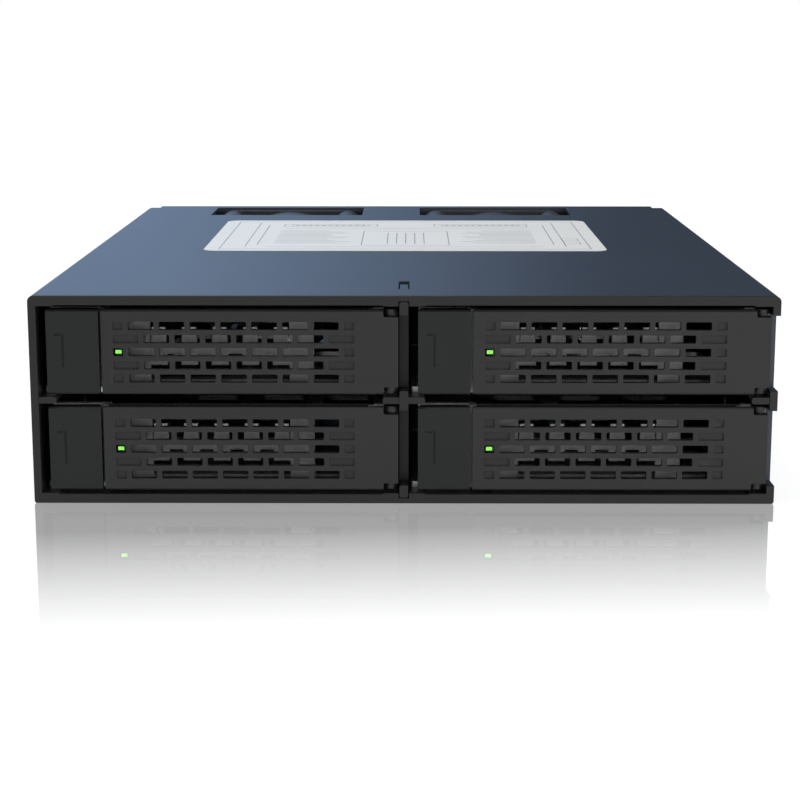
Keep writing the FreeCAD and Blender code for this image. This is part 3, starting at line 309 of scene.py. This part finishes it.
def finish(name, colour, rough, grain=0.25 * MM, grain_depth=0.02 * MM, patch=18 * MM, tint=0.08,
           wear=0.25, wear_colour=None, edge=0.16 * MM, metal=0.0, gloss=0.5, stretch=(1, 1, 1),
           black_before=0.0, rough_spread=0.08):
    """A real surface: patchy colour, fine grain in bump and roughness, edges rubbed lighter.

    black_before, where given, paints black what lies less than that behind the front plane.
    """
    material, node, link, shader = principled(name)
    coords = node("TexCoord").outputs["Object"]
    patches = noise(node, link, coords, patch)
    grains = noise(node, link, coords, grain, 4.0, stretch)
    scuffs = noise(node, link, coords, patch / 6, 5.0, (1.0, 0.35, 1.6))

    tone = mixed(node, link, spread(node, link, patches, 0.0, 1.0),
                 times(colour, 1 - tint), times(colour, 1 + tint))
    speck = mixed(node, link, ramp(node, link, grains, 0.35, 0.65, 0.0, 0.5),
                  tone, times(colour, 1 + 2.5 * tint))
    normal, rubbed = edge_rub(node, link, edge, scuffs, wear)
    worn = mixed(node, link, rubbed, speck, wear_colour or times(colour, 3.0))

    if black_before:
        edge_y = front_y + black_before
        bare = ramp(node, link, axis(node, link, coords, "Y"), edge_y, edge_y + 0.1 * MM, 0.0, 1.0)
        worn = mixed(node, link, bare, (0.012, 0.012, 0.012, 1), worn)
        link(ramp(node, link, bare, 0.0, 1.0, 0.0, metal), shader.inputs["Metallic"])
    else:
        shader.inputs["Metallic"].default_value = metal
    link(worn, shader.inputs["Base Color"])
    link(spread(node, link, grains, rough - rough_spread, rough + rough_spread), shader.inputs["Roughness"])
    shader.inputs["Specular IOR Level"].default_value = gloss

    bump = node("Bump")
    bump.inputs["Strength"].default_value = 0.5
    bump.inputs["Distance"].default_value = grain_depth
    link(grains, bump.inputs["Height"])
    link(normal, bump.inputs["Normal"])
    link(bump.outputs["Normal"], shader.inputs["Normal"])
    return material


def lit_lens():
    """Green lens end, lit from behind and cloudy."""
    material, node, link, shader = principled("lamp green lens")
    cloud = noise(node, link, node("TexCoord").outputs["Object"], 0.6 * MM)
    colour = mixed(node, link, ramp(node, link, cloud, 0.35, 0.65, 0.0, 1.0),
                   (0.13, 0.66, 0.04, 1), (0.27, 0.82, 0.08, 1))
    link(colour, shader.inputs["Emission Color"])
    link(colour, shader.inputs["Base Color"])
    link(spread(node, link, cloud, 0.75, 1.05), shader.inputs["Emission Strength"])
    link(spread(node, link, cloud, 0.12, 0.25), shader.inputs["Roughness"])
    return material


def solder_mask():
    """Green board with faint straight tracks under the mask."""
    material, node, link, shader = principled("board green mask")
    coords = node("TexCoord").outputs["Object"]
    tracks = node("TexBrick")
    tracks.inputs["Scale"].default_value = 1 / (3.2 * MM)
    tracks.inputs["Mortar Size"].default_value = 0.035
    tracks.inputs["Color1"].default_value = (0.010, 0.060, 0.026, 1)
    tracks.inputs["Color2"].default_value = (0.012, 0.075, 0.030, 1)
    tracks.inputs["Mortar"].default_value = (0.020, 0.125, 0.050, 1)
    upright = node("Mapping")
    upright.inputs["Rotation"].default_value = (math.radians(90), 0, 0)
    link(coords, upright.inputs["Vector"])
    link(upright.outputs["Vector"], tracks.inputs["Vector"])
    weave = noise(node, link, coords, 0.5 * MM)
    link(mixed(node, link, spread(node, link, weave, 0.0, 0.3), tracks.outputs["Color"],
               (0.02, 0.10, 0.045, 1)), shader.inputs["Base Color"])
    link(spread(node, link, weave, 0.25, 0.4), shader.inputs["Roughness"])
    bump = node("Bump")
    bump.inputs["Strength"].default_value = 0.3
    bump.inputs["Distance"].default_value = 0.03 * MM
    link(tracks.outputs["Fac"], bump.inputs["Height"])
    link(bump.outputs["Normal"], shader.inputs["Normal"])
    return material


# By material slot of the record
MATERIALS = {
    "frame_black": finish("frame black powder coat", (0.014, 0.014, 0.0145), 0.44, gloss=0.30, wear=0.35),
    # Shell coat: dark black paint, its blue tint in part a painted reflection of blue light.
    "shell_blue_black": finish("shell black coat with painted blue tint", (0.026, 0.036, 0.052), 0.33, grain=0.35 * MM,
                               grain_depth=0.006 * MM, patch=30 * MM, tint=0.06, wear=0.3, gloss=0.5,
                               rough_spread=0.04),
    "door_black": finish("door black coat", (0.020, 0.020, 0.0202), 0.48, grain=0.2 * MM, gloss=0.30,
                         wear=0.22, wear_colour=(0.09, 0.09, 0.093, 1)),
    "carrier_metal": finish("carrier cast metal", (0.26, 0.26, 0.26), 0.42, grain=0.3 * MM, metal=0.35,
                            wear=0.8, wear_colour=(0.75, 0.75, 0.75, 1), edge=0.25 * MM,
                            black_before=3.6 * MM),
    "tray_metal": finish("tray zinc plate", (0.50, 0.51, 0.52), 0.34, grain=0.5 * MM, metal=0.9,
                         stretch=(1, 0.15, 1), wear=0.5, wear_colour=(0.8, 0.8, 0.8, 1)),
    "label_paper": finish("label white film", (0.74, 0.745, 0.73), 0.42, grain=0.15 * MM,
                          grain_depth=0.004 * MM, tint=0.02, wear=0.1, gloss=0.4),
    "circuit_board": solder_mask(),
    "connector_black": finish("connector black plastic", (0.022, 0.022, 0.023), 0.35, gloss=0.45),
    "lamp_green": finish("lamp pipe plastic", (0.016, 0.045, 0.018), 0.2, grain=0.4 * MM, gloss=0.5,
                         wear=0.1),
    "bearing_bronze": finish("bearing bronze", (0.50, 0.32, 0.14), 0.38, metal=0.9),
    "coil_copper": finish("coil copper winding", (0.55, 0.23, 0.09), 0.35, grain=0.3 * MM, metal=0.8,
                          stretch=(1, 6, 1), grain_depth=0.08 * MM),
    "plug_white": finish("plug natural nylon", (0.72, 0.70, 0.64), 0.4, tint=0.03),
    "lead_black": finish("lead black insulation", (0.02, 0.02, 0.02), 0.45),
    "screw_black": finish("screw black oxide", (0.045, 0.045, 0.05), 0.33, metal=0.6, wear=0.7,
                          wear_colour=(0.3, 0.3, 0.31, 1)),
    "screw_steel": finish("screw bright steel", (0.55, 0.55, 0.56), 0.28, metal=1.0, stretch=(1, 0.2, 1)),
    "fan_black": finish("fan black plastic", (0.024, 0.025, 0.028), 0.38, gloss=0.45, grain=0.3 * MM),
}
# By the start of a node's name, in place of its slot's material
NODE_MATERIALS = {
    "push_button_": finish("button black coat", (0.0115, 0.0122, 0.0125), 0.5, grain=0.2 * MM, gloss=0.26,
                           wear=0.22, wear_colour=(0.08, 0.08, 0.083, 1)),
    "hinge_pin_": finish("pin blackened steel", (0.03, 0.03, 0.031), 0.42, grain=0.2 * MM, gloss=0.3),
}


def paint_frame():
    """Gives every CAD node the material of its slot in the record, or its own darker one."""
    for row in frame["record"]["subparts"]:
        mesh = frame["nodes"][row["node"]].data
        own = [made for start, made in NODE_MATERIALS.items() if row["node"].startswith(start)]
        mesh.materials.clear()
        mesh.materials.append(own[0] if own else MATERIALS[row["material_slot"]])


# ---------------------------------------------------------------- small pieces
def middle(node):
    """Middle of a CAD node's box."""
    low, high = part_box(node)
    return (Vector(low) + Vector(high)) / 2


def placed(name, data):
    """A new object in the scene."""
    made = bpy.data.objects.new(name, data)
    bpy.context.scene.collection.objects.link(made)
    return made


def piece(name, mesh, material, body):
    """A visible piece that rides a CAD body and has the given material in its slot."""
    made = placed(name, mesh)
    mesh.materials.append(material)
    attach(made, body)
    return made


def blocks(name, spans, bevel=0.0):
    """One mesh of boxes, each span a pair of corners in metres, their edges rounded by bevel."""
    mesh = bpy.data.meshes.new(name)
    shape = bmesh.new()
    for low, high in spans:
        box = bmesh.ops.create_cube(shape, size=1.0)["verts"]
        bmesh.ops.scale(shape, vec=high - low, verts=box)
        bmesh.ops.translate(shape, vec=(low + high) / 2, verts=box)
    if bevel:
        bmesh.ops.bevel(shape, geom=shape.edges[:], offset=bevel, segments=2, profile=0.7, affect="EDGES")
    shape.to_mesh(mesh)
    shape.free()
    return mesh


def span(x, y, z, width, depth, height):
    """Corners of a box from its left front bottom corner and its sizes."""
    low = Vector((x, y, z))
    return low, low + Vector((width, depth, height))


# ---------------------------------------------------------------- label: film with a ruled, wordless print
def film_mesh(low, high, thickness):
    """Thin sheet with rounded corners."""
    mesh = bpy.data.meshes.new("label_film")
    shape = bmesh.new()
    rim = []
    for index, (sign_x, sign_y) in enumerate(((1, 1), (-1, 1), (-1, -1), (1, -1))):
        x = high.x if sign_x > 0 else low.x
        y = high.y if sign_y > 0 else low.y
        centre = Vector((x - sign_x * film_corner, y - sign_y * film_corner, low.z))
        for step in range(film_corner_steps + 1):
            turn = math.radians(90 * (index + step / film_corner_steps))
            rim.append(shape.verts.new(centre + film_corner * Vector((math.cos(turn), math.sin(turn), 0))))
    sheet = shape.faces.new(rim)
    lifted = bmesh.ops.extrude_face_region(shape, geom=[sheet])["geom"]
    raised = [part for part in lifted if isinstance(part, bmesh.types.BMVert)]
    bmesh.ops.translate(shape, vec=(0, 0, thickness), verts=raised)
    bmesh.ops.recalc_face_normals(shape, faces=shape.faces[:])
    shape.to_mesh(mesh)
    shape.free()
    return mesh


def rules(wide, deep):
    """The print as bars (x, y, width, depth), in millimetres from the label's left front corner."""
    line = 0.2
    stroke = 0.3
    border = 3.4
    text_left = 15.5
    socket_w = 24
    block_w = 21
    bars = []

    def outline(x, y, width, depth):
        bars.extend((x, y + offset, width, line) for offset in (0, depth - line))
        bars.extend((x + offset, y, line, depth) for offset in (0, width - line))

    outline(border, border, wide - 2 * border, deep - 2 * border)
    for inset, start, end in ((9.0, 8, deep - 6), (11.6, 12, deep - 11)):
        bars.append((inset, start, line, end - start))
        bars.append((wide - inset, start, line, end - start))
    for left in (text_left, wide - text_left - socket_w):
        outline(left, deep - 15, socket_w, 5.6)
        outline(left + 2, deep - 13.4, socket_w - 4, 2.4)
        for pin in range(11):
            bars.append((left + 3 + pin * 1.7, deep - 12.6, 0.7, 0.9))
    outline((wide - block_w) / 2, 11, block_w, 30)
    for column in range(-2, 3):
        bars.append((wide / 2 + 2.2 * column, 14, line, 23))
    for row in range(11):
        y = 15 + row * 2.6
        run = 15 + 3 * math.sin(1.7 * row)
        bars.append((text_left, y, run, stroke))
        bars.append((wide - text_left - run, y, run, stroke))
    for y in (13, 20):
        outline(wide - 9.0, y, 4.0, 4.0)
    bars.append((16, deep - 19, wide - 32, line))
    bars.append((14, 7.5, wide - 28, line))
    return bars


def label():
    """Film in place of the CAD label, and its print in grey ink."""
    low, high = (Vector(corner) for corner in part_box("top_label"))
    film = piece("label_film", film_mesh(low, high, high.z - low.z - ink_t),
                 MATERIALS["label_paper"], "chassis")
    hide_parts("top_label")
    ink = finish("label grey ink", (0.24, 0.245, 0.25), 0.45, tint=0.05, wear=0.0)
    printed = []
    for x, y, width, depth in rules((high.x - low.x) / MM, (high.y - low.y) / MM):
        printed.append(span(low.x + x * MM, low.y + y * MM, high.z - ink_t, width * MM, depth * MM, ink_t))
    piece("label_print", blocks("label_print", printed), ink, "chassis")


# ---------------------------------------------------------------- lit noses and bright tabs
def nose_box(bay):
    """Front face of a light pipe: the spread of its foremost vertices."""
    places = [vertex.co for vertex in frame["nodes"]["light_pipe_" + bay].data.vertices]
    front = min(place.y for place in places)
    face = [place for place in places if place.y < front + 0.05 * MM]
    low = Vector(min(place[index] for place in face) for index in range(3))
    high = Vector(max(place[index] for place in face) for index in range(3))
    return low, high


def lit_noses():
    """Small glowing lens on the nose of each light pipe."""
    lens = lit_lens()
    inset = Vector((lens_side_inset, 0, lens_end_inset))
    for bay in BAYS:
        low, high = nose_box(bay)
        lens_span = (low + inset - Vector((0, lens_proud, 0)), high - inset + Vector((0, lens_sunk, 0)))
        name = "lit_nose_" + bay
        piece(name, blocks(name, [lens_span], lens_edge), lens, "tray_" + bay)


def bright_tabs():
    """Pale tabs on the carrier, one behind each web of the top row of vents; their pale colour is a painted
    highlight for the light caught on the tops of the webs.
    """
    # Painted highlight: the pale colour of these tabs stands in for light caught on the web tops.
    painted_glint = finish("tab painted highlight", (0.78, 0.78, 0.77), 0.3, grain=0.1 * MM, metal=0.3, wear=0.2)
    front = front_y + carrier_depth
    for bay in BAYS:
        face_low, face_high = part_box("lever_" + bay)
        row_low = face_high.z - vent_top - vent_h
        spans = []
        for web in range(webs):
            x = face_low.x + first_web + web * vent_pitch
            spans.append(span(x - tab_half_w, front - tab_proud, row_low - tab_drop,
                              2 * tab_half_w, tab_proud + tab_sunk, tab_drop + tab_rise))
        name = "bright_tabs_" + bay
        piece(name, blocks(name, spans, tab_edge), painted_glint, "tray_" + bay)


# ---------------------------------------------------------------- softened edges of the front
def soften_front():
    """Small rounded edges that catch the light on the levers and buttons."""
    for bay in BAYS:
        for name in ("lever_" + bay, "push_button_" + bay):
            part = frame["nodes"][name]
            weld = part.modifiers.new("weld", "WELD")
            weld.merge_threshold = weld_gap
            flat = part.modifiers.new("flat", "DECIMATE")
            flat.decimate_type = "DISSOLVE"
            flat.angle_limit = flat_angle
            bevel = part.modifiers.new("edges", "BEVEL")
            bevel.width = soft_edge
            bevel.segments = 2
            bevel.limit_method = "ANGLE"
            bevel.angle_limit = soft_angle


# ---------------------------------------------------------------- contacts and small parts on the boards
def socket_contacts(gilt):
    """Gilt contacts on the tongues of the four drive sockets, in two groups."""
    low, high = (Vector(corner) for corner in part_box("drive_connectors"))
    spans = []
    for bay in BAYS:
        base_low, base_high = (Vector(corner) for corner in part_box("tray_base_" + bay))
        x = (base_low.x + base_high.x) / 2 + socket_right
        z = base_low.z + socket_rise
        for pin in range(socket_pins):
            left = x - socket_half_w + pin_inset + pin * pin_pitch
            if pin >= pins_before_key:
                left += key_gap
            if left + pin_w < x + pin_limit:
                spans.append(span(left, low.y + pin_start, z - pin_bottom,
                                  pin_w, pin_end - pin_start, pin_bottom - pin_top))
    piece("socket_contacts", blocks("socket_contacts", spans, pin_edge), gilt, "chassis")


def port_contacts(gilt):
    """Contact strips on the blade of each rear port."""
    spans = []
    for node, (pins, stacks, board) in PORTS.items():
        low, high = (Vector(corner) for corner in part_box(node))
        riser = middle(board)
        width = (high.x - low.x - riser_t) / 2
        height = (high.z - low.z - (stacks - 1) * port_gap) / stacks
        pitch = (height - 2 * port_margin) / pins
        for side in (-1, 1):
            x = riser.x + side * (riser_t + width) / 2 + blade_half_t
            for stack in range(stacks):
                start = low.z + stack * (height + port_gap) + port_margin
                for pin in range(pins):
                    spans.append(span(x, high.y - contact_root, start + pin * pitch,
                                      contact_t, contact_root - contact_tip, contact_share * pitch))
    piece("port_contacts", blocks("port_contacts", spans), gilt, "chassis")


def board_parts():
    """Small resistors and three chips on the rear of the backplane."""
    resin = finish("chip black resin", (0.02, 0.02, 0.021), 0.4, grain=0.1 * MM)
    tinned = finish("tinned ends", (0.62, 0.62, 0.62), 0.3, metal=1.0, grain=0.2 * MM)
    board_low, board_high = (Vector(corner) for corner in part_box("backplane_board"))
    rear = board_high.y
    bodies = []
    ends = []
    for index in range(small_parts):
        x = board_low.x + small_first + index * small_pitch
        z = board_low.z + small_z + small_wander * math.sin(2.1 * index)
        bodies.append(span(x, rear, z, small_w, small_t, small_h))
        for end in (x - end_out, x + end_in):
            ends.append(span(end, rear, z, end_w, small_t + end_over, small_h))
    for x in chip_places:
        z = board_low.z + chip_z
        bodies.append(span(x, rear, z, chip_w, chip_t, chip_h))
        for leg in range(chip_legs):
            ends.append(span(x + leg_first + leg * leg_pitch, rear, z - leg_reach,
                             leg_w, leg_t, chip_h + 2 * leg_reach))
    piece("board_chips", blocks("board_chips", bodies, resin_edge), resin, "chassis")
    piece("board_solder_ends", blocks("board_solder_ends", ends, end_edge), tinned, "chassis")


# ---------------------------------------------------------------- studio
def pale_matt(node, link, rays, coords):
    """Diffuse floor for light, and mostly white for what is seen or reflected, so the shadow stays."""
    seen = any_ray(node, link, rays, ("Is Camera Ray", "Is Glossy Ray", "Is Transmission Ray"))
    share = node("Math", operation="MULTIPLY")
    share.inputs[1].default_value = white_share
    link(seen, share.inputs[0])
    matt = node("BsdfDiffuse")
    cloud = noise(node, link, coords, 0.4)
    link(mixed(node, link, spread(node, link, cloud, 0.0, 1.0), (0.87, 0.87, 0.875, 1),
               (0.90, 0.90, 0.90, 1)), matt.inputs["Color"])
    white = node("Emission")
    reach = node("VectorMath", operation="LENGTH")
    link(coords, reach.inputs[0])
    link(ramp(node, link, reach.outputs["Value"], white_near, white_far, white_strength, far_strength),
         white.inputs["Strength"])
    return blended(node, link, share.outputs["Value"], matt.outputs["BSDF"], white.outputs["Emission"])


def mirror_share(node, link, rays, coords):
    """How far the floor mirrors: a strip in front of the cage that fades out forwards and at its sides."""
    across = axis(node, link, coords, "X")
    along = axis(node, link, coords, "Y")
    slant = node("Math", operation="MULTIPLY_ADD")
    slant.inputs[1].default_value = mirror_slant
    link(across, slant.inputs[0])
    link(along, slant.inputs[2])
    near = ramp(node, link, slant.outputs["Value"],
                front_y - mirror_gone, front_y - mirror_full, 0.0, mirror_most)
    ahead = ramp(node, link, along, front_y, front_y + 0.5 * MM, 1.0, 0.0)
    aside = node("Math", operation="ABSOLUTE")
    link(across, aside.inputs[0])
    under = ramp(node, link, aside.outputs["Value"], mirror_inner, mirror_outer, 1.0, 0.0)
    strip = math_of(node, link, "MULTIPLY", near, math_of(node, link, "MULTIPLY", ahead, under))
    return math_of(node, link, "MULTIPLY", strip, rays.outputs["Is Camera Ray"])


def studio_floor():
    """Pale floor that keeps the shadow and mirrors the front for a short way, as polished acrylic does."""
    bpy.ops.mesh.primitive_plane_add(size=floor_size, location=(0, 0, -floor_drop))
    floor = bpy.context.object
    floor.name = "studio_floor"
    material = bpy.data.materials.new("floor acrylic")
    node, link = empty_tree(material)
    rays = node("LightPath")
    coords = node("TexCoord").outputs["Object"]
    mirror = node("BsdfGlossy")
    mirror.inputs["Roughness"].default_value = 0.0
    mirror.inputs["Color"].default_value = (1, 1, 1, 1)
    polished = blended(node, link, mirror_share(node, link, rays, coords),
                       pale_matt(node, link, rays, coords), mirror.outputs["BSDF"])
    link(polished, node("OutputMaterial").inputs["Surface"])
    floor.data.materials.append(material)


def studio_world():
    """White where it is seen or mirrored sharply, softer grey in the glosses and as light."""
    world = bpy.data.worlds.new("studio")
    bpy.context.scene.world = world
    node, link = empty_tree(world)

    def light(colour, strength):
        made = node("Background")
        made.inputs["Color"].default_value = colour
        made.inputs["Strength"].default_value = strength
        return made.outputs["Background"]

    rays = node("LightPath")
    seen = any_ray(node, link, rays, ("Is Camera Ray", "Is Singular Ray", "Is Transmission Ray"))
    unseen = blended(node, link, rays.outputs["Is Glossy Ray"], light((0.95, 0.975, 1.0, 1), light_strength),
                     light((1, 1, 1, 1), gloss_strength))
    sky = blended(node, link, seen, unseen, light((1, 1, 1, 1), world_strength))
    link(sky, node("OutputWorld").inputs["Surface"])


def fading_card():
    """Tall card behind the object, pale at the left and dark at the right, that only rough glosses show."""
    mesh = bpy.data.meshes.new("studio_card")
    rim = [(-card_half_w, card_y, 0.0), (card_half_w, card_y, 0.0),
           (card_half_w, card_y, card_h), (-card_half_w, card_y, card_h)]
    mesh.from_pydata(rim, [], [(0, 1, 2, 3)])
    card = placed("studio_card", mesh)
    material = bpy.data.materials.new("card grey fade")
    node, link = empty_tree(material)
    across = axis(node, link, node("TexCoord").outputs["Object"], "X")
    fade = ramp(node, link, across, pale_x, dark_x, 0.0, 1.0)
    glow = node("Emission")
    link(mixed(node, link, fade, card_pale, card_dark), glow.inputs["Color"])
    sharp = node("LightPath").outputs["Is Singular Ray"]
    shown = blended(node, link, sharp, glow.outputs["Emission"], node("BsdfTransparent").outputs["BSDF"])
    link(shown, node("OutputMaterial").inputs["Surface"])
    mesh.materials.append(material)
    card.visible_camera = False
    card.visible_diffuse = False
    card.visible_shadow = False


def softbox(name, place, width, height, watts):
    """White area lamp that faces the object and isn't seen itself."""
    lamp = bpy.data.lights.new(name, "AREA")
    lamp.shape = "RECTANGLE"
    lamp.size = width
    lamp.size_y = height
    lamp.energy = watts
    made = placed(name, lamp)
    made.location = place
    made.rotation_euler = (aim - Vector(place)).to_track_quat("-Z", "Y").to_euler()
    made.visible_camera = False


def camera():
    """Stands in front of the cage, a little above it."""
    lens = bpy.data.cameras.new("camera")
    lens.sensor_width = camera_sensor
    lens.lens = camera_lens
    made = placed("camera", lens)
    made.location = (camera_x, front_y - camera_ahead, camera_z)
    made.rotation_euler = (math.radians(90) - camera_down, 0, camera_turn)
    bpy.context.scene.camera = made


paint_frame()
soften_front()
lit_noses()
bright_tabs()
label()
contact_gilt = finish("contact gilt", (0.85, 0.62, 0.25), 0.25, metal=1.0, grain=0.1 * MM, tint=0.04)
socket_contacts(contact_gilt)
port_contacts(contact_gilt)
board_parts()
studio_floor()
studio_world()
fading_card()
softbox("overhead", (-0.15, 0.05, 1.00), 0.8, 0.8, 6.2)
softbox("side", (0.40, -0.44, 0.13), 0.3, 0.3, 0.95)
softbox("front", (0.10, -1.2, 0.45), 0.8, 0.5, 1.0)
camera()
bpy.context.scene.view_settings.view_transform = "Standard"
